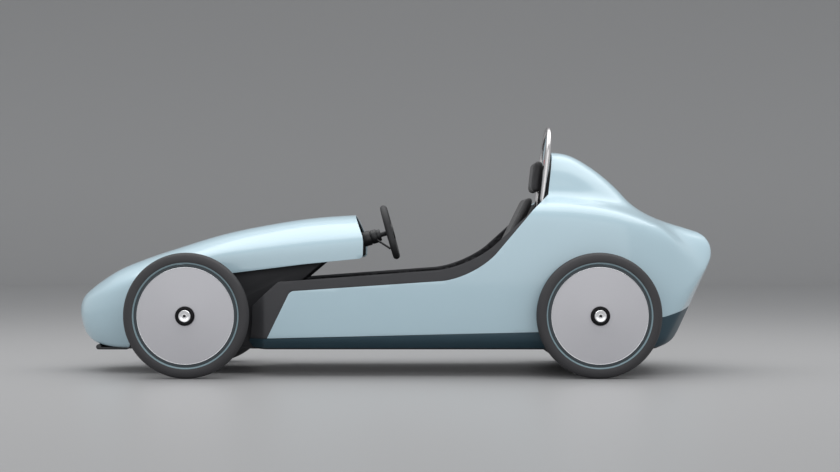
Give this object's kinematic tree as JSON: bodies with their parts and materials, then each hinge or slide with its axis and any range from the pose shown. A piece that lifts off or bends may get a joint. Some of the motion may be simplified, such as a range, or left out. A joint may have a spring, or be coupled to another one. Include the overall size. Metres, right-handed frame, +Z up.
{
  "type": "electric pedal go-kart",
  "caption": "Single-seat electric pedal car with bicycle-size disc wheels, a long hood, open cockpit, roll hoop and headrest tail.",
  "frame": {"origin": "floor level under the middle of the car", "axes": "+X to the rear, +Y to the driver's right, +Z up"},
  "size_m": [2.697, 0.88, 1.042],
  "materials": {
    "body_blue": "gloss",
    "trim_teal": "satin",
    "tub_dark": "satin",
    "black_plastic": "satin",
    "seat_cover": "satin",
    "black_steel": "satin",
    "hoop_steel": "polished",
    "lamp_red": "gloss",
    "crank_alloy": "satin",
    "unit_alloy": "satin",
    "tyre_rubber": "matte",
    "rim_grey": "satin",
    "disc_silver": "satin",
    "hub_black": "satin"
  },
  "bodies": {
    "chassis": {"front_cowl": "body_blue", "side_panel_left": "body_blue", "side_panel_right": "body_blue", "tail_shell": "body_blue", "sill_left": "trim_teal", "sill_right": "trim_teal", "rear_valance": "trim_teal", "floor_pan": "tub_dark", "tub_wall_left": "tub_dark", "tub_wall_right": "tub_dark", "footwell_walls": "tub_dark", "front_bulkhead": "tub_dark", "seat_bulkhead": "tub_dark", "drive_tunnel": "tub_dark", "front_lip": "black_plastic", "dash_panel": "black_plastic", "seat_shell": "black_plastic", "steering_column_tube": "black_plastic", "battery_pack": "black_plastic", "seat_base_pad": "seat_cover", "seat_back_pad": "seat_cover", "headrest_pad": "seat_cover", "front_axle_beam": "black_steel", "rear_axle": "black_steel", "roll_hoop": "hoop_steel", "marker_lamp": "lamp_red", "drive_unit": "unit_alloy", "steering_gearbox": "unit_alloy"},
    "knuckle_left": {"knuckle_left": "black_steel"},
    "knuckle_right": {"knuckle_right": "black_steel"},
    "tie_rod": {"tie_rod": "black_steel"},
    "pitman_arm": {"pitman_arm": "black_steel"},
    "steering": {"steering_yoke": "black_plastic", "steering_shaft": "black_steel"},
    "crankset": {"crankset": "crank_alloy"},
    "pedal_left": {"pedal_left": "black_plastic"},
    "pedal_right": {"pedal_right": "black_plastic"},
    "wheel_front_left": {"tyre_front_left": "tyre_rubber", "rim_front_left": "rim_grey", "disc_front_left": "disc_silver", "hub_front_left": "hub_black"},
    "wheel_front_right": {"tyre_front_right": "tyre_rubber", "rim_front_right": "rim_grey", "disc_front_right": "disc_silver", "hub_front_right": "hub_black"},
    "wheel_rear_left": {"tyre_rear_left": "tyre_rubber", "rim_rear_left": "rim_grey", "disc_rear_left": "disc_silver", "hub_rear_left": "hub_black"},
    "wheel_rear_right": {"tyre_rear_right": "tyre_rubber", "rim_rear_right": "rim_grey", "disc_rear_right": "disc_silver", "hub_rear_right": "hub_black"}
  },
  "joints": [
    {"name": "steer_left", "type": "hinge", "parent": "chassis", "child": "knuckle_left", "pos_m": [-0.835, -0.335, 0.253], "axis": [0, 0, 1], "range_deg": [-25, 25]},
    {"name": "steer_right", "type": "hinge", "parent": "chassis", "child": "knuckle_right", "pos_m": [-0.835, 0.335, 0.253], "axis": [0, 0, 1], "range_deg": [-25, 25]},
    {"name": "tie_rod_pivot", "type": "hinge", "parent": "knuckle_left", "child": "tie_rod", "pos_m": [-0.945, -0.335, 0.273], "axis": [0, 0, 1], "range_deg": [-25, 25]},
    {"name": "pitman_pivot", "type": "hinge", "parent": "chassis", "child": "pitman_arm", "pos_m": [-0.835, 0, 0.3], "axis": [0, 0, 1], "range_deg": [-25, 25]},
    {"name": "steering_turn", "type": "hinge", "parent": "chassis", "child": "steering", "pos_m": [-0.024, 0, 0.589], "axis": [0.9636, 0, 0.2672], "range_deg": [-50, 50]},
    {"name": "spin_front_left", "type": "hinge", "parent": "knuckle_left", "child": "wheel_front_left", "pos_m": [-0.835, -0.395, 0.253], "axis": [0, 1, 0], "continuous": true},
    {"name": "spin_front_right", "type": "hinge", "parent": "knuckle_right", "child": "wheel_front_right", "pos_m": [-0.835, 0.395, 0.253], "axis": [0, 1, 0], "continuous": true},
    {"name": "spin_rear_left", "type": "hinge", "parent": "chassis", "child": "wheel_rear_left", "pos_m": [0.825, -0.395, 0.253], "axis": [0, 1, 0], "continuous": true},
    {"name": "spin_rear_right", "type": "hinge", "parent": "chassis", "child": "wheel_rear_right", "pos_m": [0.825, 0.395, 0.253], "axis": [0, 1, 0], "continuous": true},
    {"name": "crank_turn", "type": "hinge", "parent": "chassis", "child": "crankset", "pos_m": [-0.56, 0, 0.34], "axis": [0, 1, 0], "continuous": true},
    {"name": "pedal_turn_left", "type": "hinge", "parent": "crankset", "child": "pedal_left", "pos_m": [-0.7, -0.124, 0.34], "axis": [0, 1, 0], "continuous": true},
    {"name": "pedal_turn_right", "type": "hinge", "parent": "crankset", "child": "pedal_right", "pos_m": [-0.42, 0.124, 0.34], "axis": [0, 1, 0], "continuous": true}
  ],
  "couplings": [
    {"joint": "steer_right", "follows": "steer_left", "ratio": 1},
    {"joint": "tie_rod_pivot", "follows": "steer_left", "ratio": -1},
    {"joint": "pitman_pivot", "follows": "steer_left", "ratio": 1},
    {"joint": "steering_turn", "follows": "steer_left", "ratio": 2}
  ]
}
